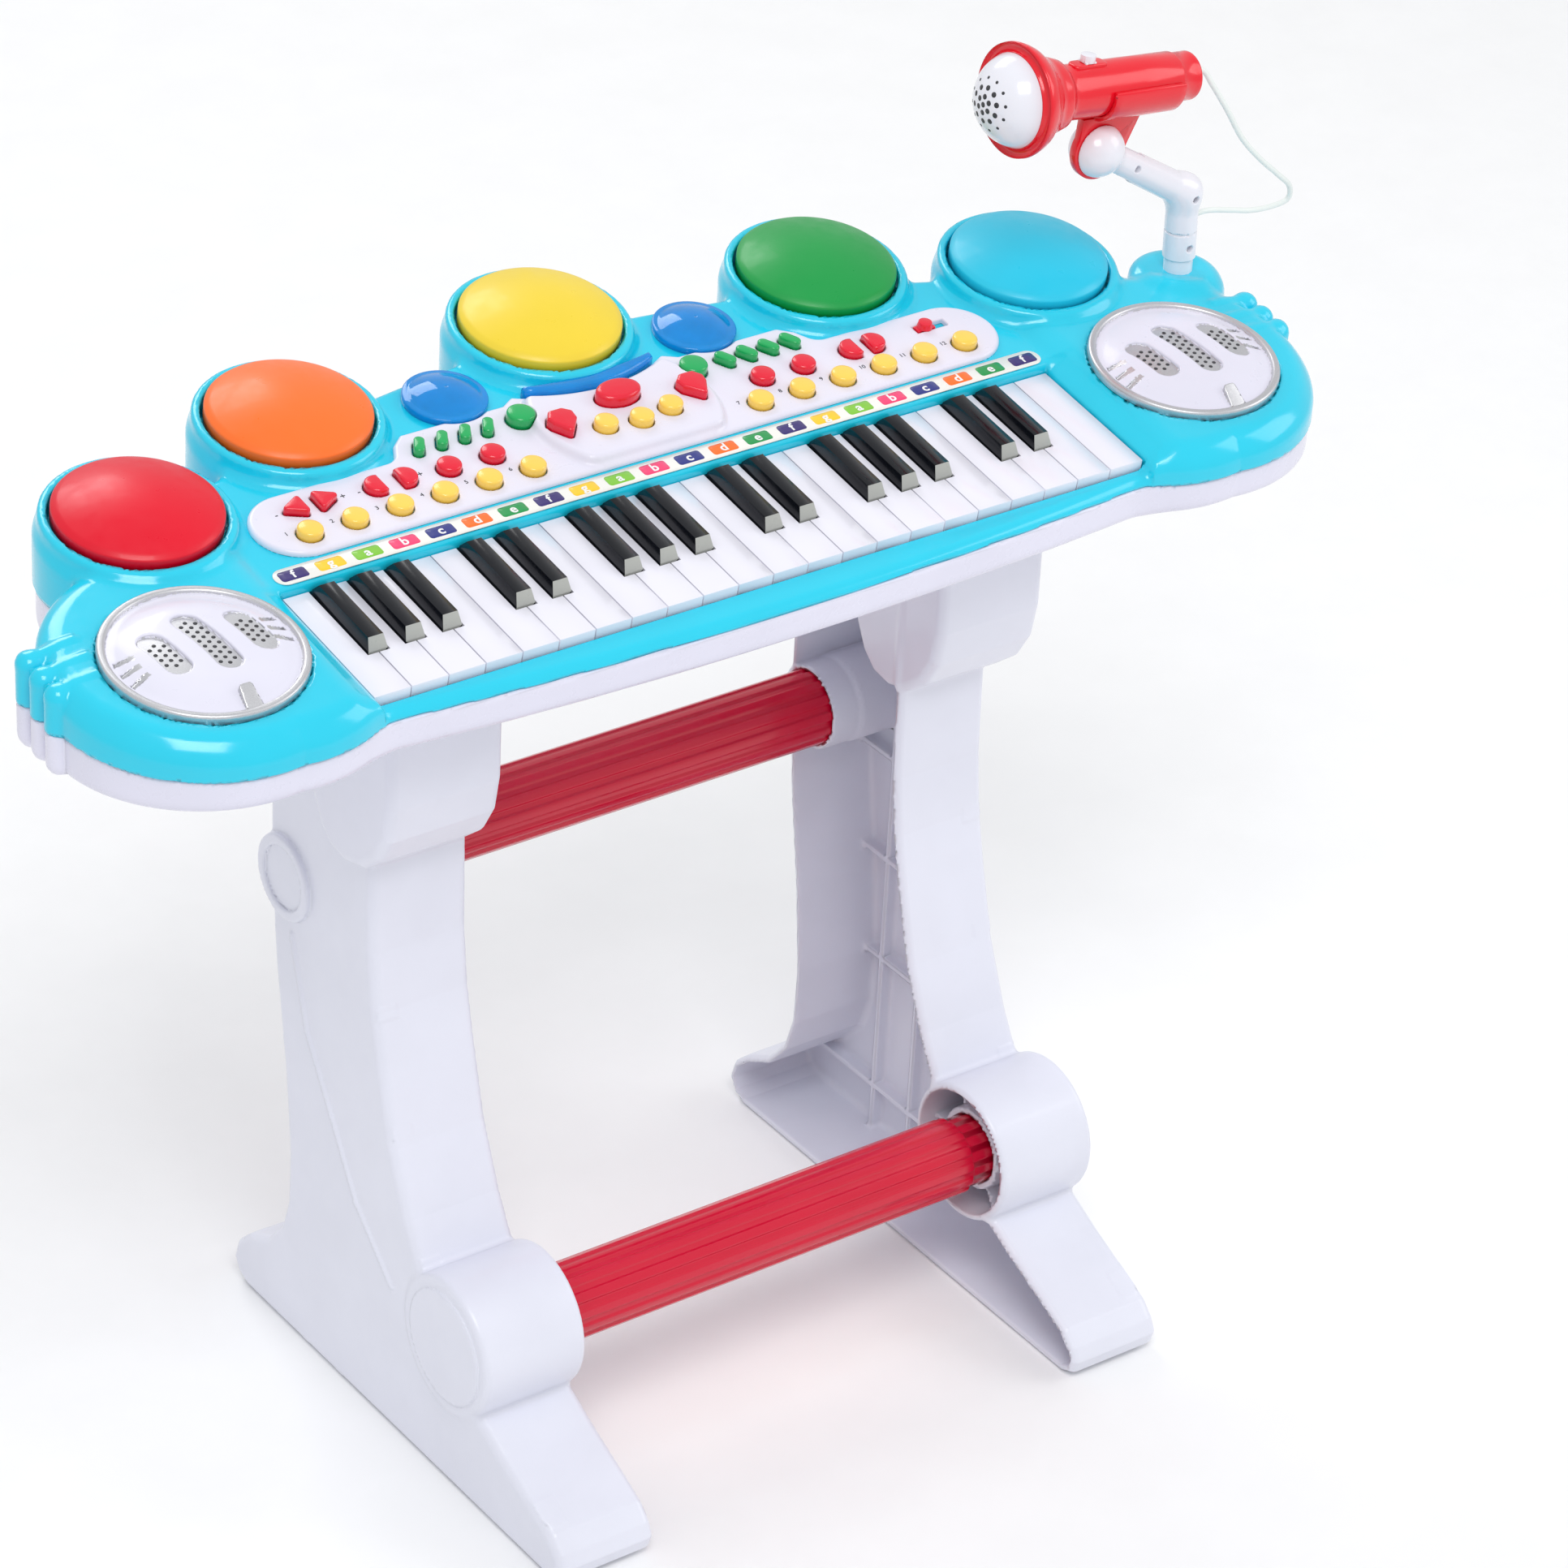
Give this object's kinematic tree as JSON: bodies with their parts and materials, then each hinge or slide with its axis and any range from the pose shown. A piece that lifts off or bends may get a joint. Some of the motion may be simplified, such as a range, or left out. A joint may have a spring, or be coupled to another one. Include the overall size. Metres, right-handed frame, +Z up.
{
  "type": "toy electronic keyboard",
  "caption": "Toy electronic keyboard on a two-leg stand, with piano keys, round drum pads, push buttons, speakers and a microphone on a swivel arm.",
  "frame": {"origin": "on the floor under the middle of the model", "axes": "+Z up, +X to the player's right, player on the -Y side"},
  "size_m": [0.6227, 0.2986, 0.5144],
  "materials": {
    "white_key": "glossy white",
    "black_key": "glossy black",
    "red_pad": "smooth gloss",
    "orange_pad": "smooth gloss",
    "yellow_pad": "smooth gloss",
    "green_pad": "smooth gloss",
    "blue_pad": "smooth gloss",
    "cyan_case": "glossy moulded",
    "white_shell": "satin moulded",
    "pearl_panel": "satin moulded",
    "red_button": "gloss",
    "yellow_button": "gloss",
    "green_button": "gloss",
    "blue_lens": "clear tinted",
    "silver_grille": "fine metallic paint",
    "circuit_board": "board green",
    "satin_leg": "satin moulded",
    "red_bar": "glossy ribbed",
    "mic_white": "gloss",
    "mic_red": "gloss",
    "white_cord": "soft sleeve"
  },
  "bodies": {
    "keyboard": {"upper_case": "cyan_case", "lower_case": "white_shell", "control_panel": "pearl_panel", "lamp_lenses": "blue_lens", "speaker_grilles": "silver_grille", "electronics": "circuit_board", "stand_legs": "satin_leg", "cross_bars": "red_bar"},
    "mic_arm": {"mic_arm": "mic_white", "mic_cord": "white_cord"},
    "microphone": {"microphone": "mic_red", "mic_clip": "mic_red"},
    "mic_switch": {"mic_switch": "mic_white"},
    "red_buttons": {"red_buttons": "red_button"},
    "yellow_buttons": {"yellow_buttons": "yellow_button"},
    "green_buttons": {"green_buttons": "green_button"},
    "power_switch": {"power_switch": "red_button"},
    "battery_door": {"battery_door": "white_shell"},
    "drum_pad_1": {"drum_pad_1": "red_pad"},
    "drum_pad_2": {"drum_pad_2": "orange_pad"},
    "drum_pad_3": {"drum_pad_3": "yellow_pad"},
    "drum_pad_4": {"drum_pad_4": "green_pad"},
    "drum_pad_5": {"drum_pad_5": "blue_pad"},
    "white_key_01": {"white_key_01": "white_key"},
    "white_key_02": {"white_key_02": "white_key"},
    "white_key_03": {"white_key_03": "white_key"},
    "white_key_04": {"white_key_04": "white_key"},
    "white_key_05": {"white_key_05": "white_key"},
    "white_key_06": {"white_key_06": "white_key"},
    "white_key_07": {"white_key_07": "white_key"},
    "white_key_08": {"white_key_08": "white_key"},
    "white_key_09": {"white_key_09": "white_key"},
    "white_key_10": {"white_key_10": "white_key"},
    "white_key_11": {"white_key_11": "white_key"},
    "white_key_12": {"white_key_12": "white_key"},
    "white_key_13": {"white_key_13": "white_key"},
    "white_key_14": {"white_key_14": "white_key"},
    "white_key_15": {"white_key_15": "white_key"},
    "white_key_16": {"white_key_16": "white_key"},
    "white_key_17": {"white_key_17": "white_key"},
    "white_key_18": {"white_key_18": "white_key"},
    "white_key_19": {"white_key_19": "white_key"},
    "white_key_20": {"white_key_20": "white_key"},
    "white_key_21": {"white_key_21": "white_key"},
    "white_key_22": {"white_key_22": "white_key"},
    "black_key_01": {"black_key_01": "black_key"},
    "black_key_02": {"black_key_02": "black_key"},
    "black_key_03": {"black_key_03": "black_key"},
    "black_key_04": {"black_key_04": "black_key"},
    "black_key_05": {"black_key_05": "black_key"},
    "black_key_06": {"black_key_06": "black_key"},
    "black_key_07": {"black_key_07": "black_key"},
    "black_key_08": {"black_key_08": "black_key"},
    "black_key_09": {"black_key_09": "black_key"},
    "black_key_10": {"black_key_10": "black_key"},
    "black_key_11": {"black_key_11": "black_key"},
    "black_key_12": {"black_key_12": "black_key"},
    "black_key_13": {"black_key_13": "black_key"},
    "black_key_14": {"black_key_14": "black_key"},
    "black_key_15": {"black_key_15": "black_key"}
  },
  "joints": [
    {"name": "mic_swivel", "type": "hinge", "parent": "keyboard", "child": "mic_arm", "pos_m": [0.272, 0.0393, 0.39], "axis": [0, 0, 1], "range_deg": [-60, 60]},
    {"name": "mic_tilt", "type": "hinge", "parent": "mic_arm", "child": "microphone", "pos_m": [0.2229, 0.0393, 0.4587], "axis": [0, 1, 0], "range_deg": [-12, 30], "deforming": ["mic_cord"]},
    {"name": "mic_switch_slide", "type": "slide", "parent": "microphone", "child": "mic_switch", "axis": [0.9944, 0, -0.1057], "range_m": [0, 0.004]},
    {"name": "power_switch_slide", "type": "slide", "parent": "keyboard", "child": "power_switch", "axis": [1, 0, 0], "range_m": [0, 0.0055]},
    {"name": "battery_door_hinge", "type": "hinge", "parent": "keyboard", "child": "battery_door", "pos_m": [0, 0.0978, 0.349], "axis": [1, 0, 0], "range_deg": [0, 85]},
    {"name": "red_buttons_press", "type": "slide", "parent": "keyboard", "child": "red_buttons", "axis": [0, -0.1513, 0.9885], "range_m": [-0.0012, 0], "stiffness_N_per_m": 600},
    {"name": "yellow_buttons_press", "type": "slide", "parent": "keyboard", "child": "yellow_buttons", "axis": [0, -0.1513, 0.9885], "range_m": [-0.0012, 0], "stiffness_N_per_m": 600},
    {"name": "green_buttons_press", "type": "slide", "parent": "keyboard", "child": "green_buttons", "axis": [0, -0.1513, 0.9885], "range_m": [-0.0012, 0], "stiffness_N_per_m": 600},
    {"name": "drum_pad_1_press", "type": "slide", "parent": "keyboard", "child": "drum_pad_1", "axis": [0, -0.1513, 0.9885], "range_m": [-0.0015, 0], "stiffness_N_per_m": 800},
    {"name": "drum_pad_2_press", "type": "slide", "parent": "keyboard", "child": "drum_pad_2", "axis": [0, -0.1513, 0.9885], "range_m": [-0.0015, 0], "stiffness_N_per_m": 800},
    {"name": "drum_pad_3_press", "type": "slide", "parent": "keyboard", "child": "drum_pad_3", "axis": [0, -0.1513, 0.9885], "range_m": [-0.0015, 0], "stiffness_N_per_m": 800},
    {"name": "drum_pad_4_press", "type": "slide", "parent": "keyboard", "child": "drum_pad_4", "axis": [0, -0.1513, 0.9885], "range_m": [-0.0015, 0], "stiffness_N_per_m": 800},
    {"name": "drum_pad_5_press", "type": "slide", "parent": "keyboard", "child": "drum_pad_5", "axis": [0, -0.1513, 0.9885], "range_m": [-0.0015, 0], "stiffness_N_per_m": 800},
    {"name": "white_key_01_press", "type": "hinge", "parent": "keyboard", "child": "white_key_01", "pos_m": [0, 0.0394, 0.37977], "axis": [1, 0, 0], "range_deg": [0, 2], "stiffness_Nm_per_rad": 0.6, "springref_deg": -2.86},
    {"name": "white_key_02_press", "type": "hinge", "parent": "keyboard", "child": "white_key_02", "pos_m": [0, 0.0394, 0.37977], "axis": [1, 0, 0], "range_deg": [0, 2], "stiffness_Nm_per_rad": 0.6, "springref_deg": -2.86},
    {"name": "white_key_03_press", "type": "hinge", "parent": "keyboard", "child": "white_key_03", "pos_m": [0, 0.0394, 0.37977], "axis": [1, 0, 0], "range_deg": [0, 2], "stiffness_Nm_per_rad": 0.6, "springref_deg": -2.86},
    {"name": "white_key_04_press", "type": "hinge", "parent": "keyboard", "child": "white_key_04", "pos_m": [0, 0.0394, 0.37977], "axis": [1, 0, 0], "range_deg": [0, 2], "stiffness_Nm_per_rad": 0.6, "springref_deg": -2.86},
    {"name": "white_key_05_press", "type": "hinge", "parent": "keyboard", "child": "white_key_05", "pos_m": [0, 0.0394, 0.37977], "axis": [1, 0, 0], "range_deg": [0, 2], "stiffness_Nm_per_rad": 0.6, "springref_deg": -2.86},
    {"name": "white_key_06_press", "type": "hinge", "parent": "keyboard", "child": "white_key_06", "pos_m": [0, 0.0394, 0.37977], "axis": [1, 0, 0], "range_deg": [0, 2], "stiffness_Nm_per_rad": 0.6, "springref_deg": -2.86},
    {"name": "white_key_07_press", "type": "hinge", "parent": "keyboard", "child": "white_key_07", "pos_m": [0, 0.0394, 0.37977], "axis": [1, 0, 0], "range_deg": [0, 2], "stiffness_Nm_per_rad": 0.6, "springref_deg": -2.86},
    {"name": "white_key_08_press", "type": "hinge", "parent": "keyboard", "child": "white_key_08", "pos_m": [0, 0.0394, 0.37977], "axis": [1, 0, 0], "range_deg": [0, 2], "stiffness_Nm_per_rad": 0.6, "springref_deg": -2.86},
    {"name": "white_key_09_press", "type": "hinge", "parent": "keyboard", "child": "white_key_09", "pos_m": [0, 0.0394, 0.37977], "axis": [1, 0, 0], "range_deg": [0, 2], "stiffness_Nm_per_rad": 0.6, "springref_deg": -2.86},
    {"name": "white_key_10_press", "type": "hinge", "parent": "keyboard", "child": "white_key_10", "pos_m": [0, 0.0394, 0.37977], "axis": [1, 0, 0], "range_deg": [0, 2], "stiffness_Nm_per_rad": 0.6, "springref_deg": -2.86},
    {"name": "white_key_11_press", "type": "hinge", "parent": "keyboard", "child": "white_key_11", "pos_m": [0, 0.0394, 0.37977], "axis": [1, 0, 0], "range_deg": [0, 2], "stiffness_Nm_per_rad": 0.6, "springref_deg": -2.86},
    {"name": "white_key_12_press", "type": "hinge", "parent": "keyboard", "child": "white_key_12", "pos_m": [0, 0.0394, 0.37977], "axis": [1, 0, 0], "range_deg": [0, 2], "stiffness_Nm_per_rad": 0.6, "springref_deg": -2.86},
    {"name": "white_key_13_press", "type": "hinge", "parent": "keyboard", "child": "white_key_13", "pos_m": [0, 0.0394, 0.37977], "axis": [1, 0, 0], "range_deg": [0, 2], "stiffness_Nm_per_rad": 0.6, "springref_deg": -2.86},
    {"name": "white_key_14_press", "type": "hinge", "parent": "keyboard", "child": "white_key_14", "pos_m": [0, 0.0394, 0.37977], "axis": [1, 0, 0], "range_deg": [0, 2], "stiffness_Nm_per_rad": 0.6, "springref_deg": -2.86},
    {"name": "white_key_15_press", "type": "hinge", "parent": "keyboard", "child": "white_key_15", "pos_m": [0, 0.0394, 0.37977], "axis": [1, 0, 0], "range_deg": [0, 2], "stiffness_Nm_per_rad": 0.6, "springref_deg": -2.86},
    {"name": "white_key_16_press", "type": "hinge", "parent": "keyboard", "child": "white_key_16", "pos_m": [0, 0.0394, 0.37977], "axis": [1, 0, 0], "range_deg": [0, 2], "stiffness_Nm_per_rad": 0.6, "springref_deg": -2.86},
    {"name": "white_key_17_press", "type": "hinge", "parent": "keyboard", "child": "white_key_17", "pos_m": [0, 0.0394, 0.37977], "axis": [1, 0, 0], "range_deg": [0, 2], "stiffness_Nm_per_rad": 0.6, "springref_deg": -2.86},
    {"name": "white_key_18_press", "type": "hinge", "parent": "keyboard", "child": "white_key_18", "pos_m": [0, 0.0394, 0.37977], "axis": [1, 0, 0], "range_deg": [0, 2], "stiffness_Nm_per_rad": 0.6, "springref_deg": -2.86},
    {"name": "white_key_19_press", "type": "hinge", "parent": "keyboard", "child": "white_key_19", "pos_m": [0, 0.0394, 0.37977], "axis": [1, 0, 0], "range_deg": [0, 2], "stiffness_Nm_per_rad": 0.6, "springref_deg": -2.86},
    {"name": "white_key_20_press", "type": "hinge", "parent": "keyboard", "child": "white_key_20", "pos_m": [0, 0.0394, 0.37977], "axis": [1, 0, 0], "range_deg": [0, 2], "stiffness_Nm_per_rad": 0.6, "springref_deg": -2.86},
    {"name": "white_key_21_press", "type": "hinge", "parent": "keyboard", "child": "white_key_21", "pos_m": [0, 0.0394, 0.37977], "axis": [1, 0, 0], "range_deg": [0, 2], "stiffness_Nm_per_rad": 0.6, "springref_deg": -2.86},
    {"name": "white_key_22_press", "type": "hinge", "parent": "keyboard", "child": "white_key_22", "pos_m": [0, 0.0394, 0.37977], "axis": [1, 0, 0], "range_deg": [0, 2], "stiffness_Nm_per_rad": 0.6, "springref_deg": -2.86},
    {"name": "black_key_01_press", "type": "hinge", "parent": "keyboard", "child": "black_key_01", "pos_m": [0, 0.0394, 0.37977], "axis": [1, 0, 0], "range_deg": [0, 2], "stiffness_Nm_per_rad": 0.5, "springref_deg": -2.86},
    {"name": "black_key_02_press", "type": "hinge", "parent": "keyboard", "child": "black_key_02", "pos_m": [0, 0.0394, 0.37977], "axis": [1, 0, 0], "range_deg": [0, 2], "stiffness_Nm_per_rad": 0.5, "springref_deg": -2.86},
    {"name": "black_key_03_press", "type": "hinge", "parent": "keyboard", "child": "black_key_03", "pos_m": [0, 0.0394, 0.37977], "axis": [1, 0, 0], "range_deg": [0, 2], "stiffness_Nm_per_rad": 0.5, "springref_deg": -2.86},
    {"name": "black_key_04_press", "type": "hinge", "parent": "keyboard", "child": "black_key_04", "pos_m": [0, 0.0394, 0.37977], "axis": [1, 0, 0], "range_deg": [0, 2], "stiffness_Nm_per_rad": 0.5, "springref_deg": -2.86},
    {"name": "black_key_05_press", "type": "hinge", "parent": "keyboard", "child": "black_key_05", "pos_m": [0, 0.0394, 0.37977], "axis": [1, 0, 0], "range_deg": [0, 2], "stiffness_Nm_per_rad": 0.5, "springref_deg": -2.86},
    {"name": "black_key_06_press", "type": "hinge", "parent": "keyboard", "child": "black_key_06", "pos_m": [0, 0.0394, 0.37977], "axis": [1, 0, 0], "range_deg": [0, 2], "stiffness_Nm_per_rad": 0.5, "springref_deg": -2.86},
    {"name": "black_key_07_press", "type": "hinge", "parent": "keyboard", "child": "black_key_07", "pos_m": [0, 0.0394, 0.37977], "axis": [1, 0, 0], "range_deg": [0, 2], "stiffness_Nm_per_rad": 0.5, "springref_deg": -2.86},
    {"name": "black_key_08_press", "type": "hinge", "parent": "keyboard", "child": "black_key_08", "pos_m": [0, 0.0394, 0.37977], "axis": [1, 0, 0], "range_deg": [0, 2], "stiffness_Nm_per_rad": 0.5, "springref_deg": -2.86},
    {"name": "black_key_09_press", "type": "hinge", "parent": "keyboard", "child": "black_key_09", "pos_m": [0, 0.0394, 0.37977], "axis": [1, 0, 0], "range_deg": [0, 2], "stiffness_Nm_per_rad": 0.5, "springref_deg": -2.86},
    {"name": "black_key_10_press", "type": "hinge", "parent": "keyboard", "child": "black_key_10", "pos_m": [0, 0.0394, 0.37977], "axis": [1, 0, 0], "range_deg": [0, 2], "stiffness_Nm_per_rad": 0.5, "springref_deg": -2.86},
    {"name": "black_key_11_press", "type": "hinge", "parent": "keyboard", "child": "black_key_11", "pos_m": [0, 0.0394, 0.37977], "axis": [1, 0, 0], "range_deg": [0, 2], "stiffness_Nm_per_rad": 0.5, "springref_deg": -2.86},
    {"name": "black_key_12_press", "type": "hinge", "parent": "keyboard", "child": "black_key_12", "pos_m": [0, 0.0394, 0.37977], "axis": [1, 0, 0], "range_deg": [0, 2], "stiffness_Nm_per_rad": 0.5, "springref_deg": -2.86},
    {"name": "black_key_13_press", "type": "hinge", "parent": "keyboard", "child": "black_key_13", "pos_m": [0, 0.0394, 0.37977], "axis": [1, 0, 0], "range_deg": [0, 2], "stiffness_Nm_per_rad": 0.5, "springref_deg": -2.86},
    {"name": "black_key_14_press", "type": "hinge", "parent": "keyboard", "child": "black_key_14", "pos_m": [0, 0.0394, 0.37977], "axis": [1, 0, 0], "range_deg": [0, 2], "stiffness_Nm_per_rad": 0.5, "springref_deg": -2.86},
    {"name": "black_key_15_press", "type": "hinge", "parent": "keyboard", "child": "black_key_15", "pos_m": [0, 0.0394, 0.37977], "axis": [1, 0, 0], "range_deg": [0, 2], "stiffness_Nm_per_rad": 0.5, "springref_deg": -2.86}
  ]
}
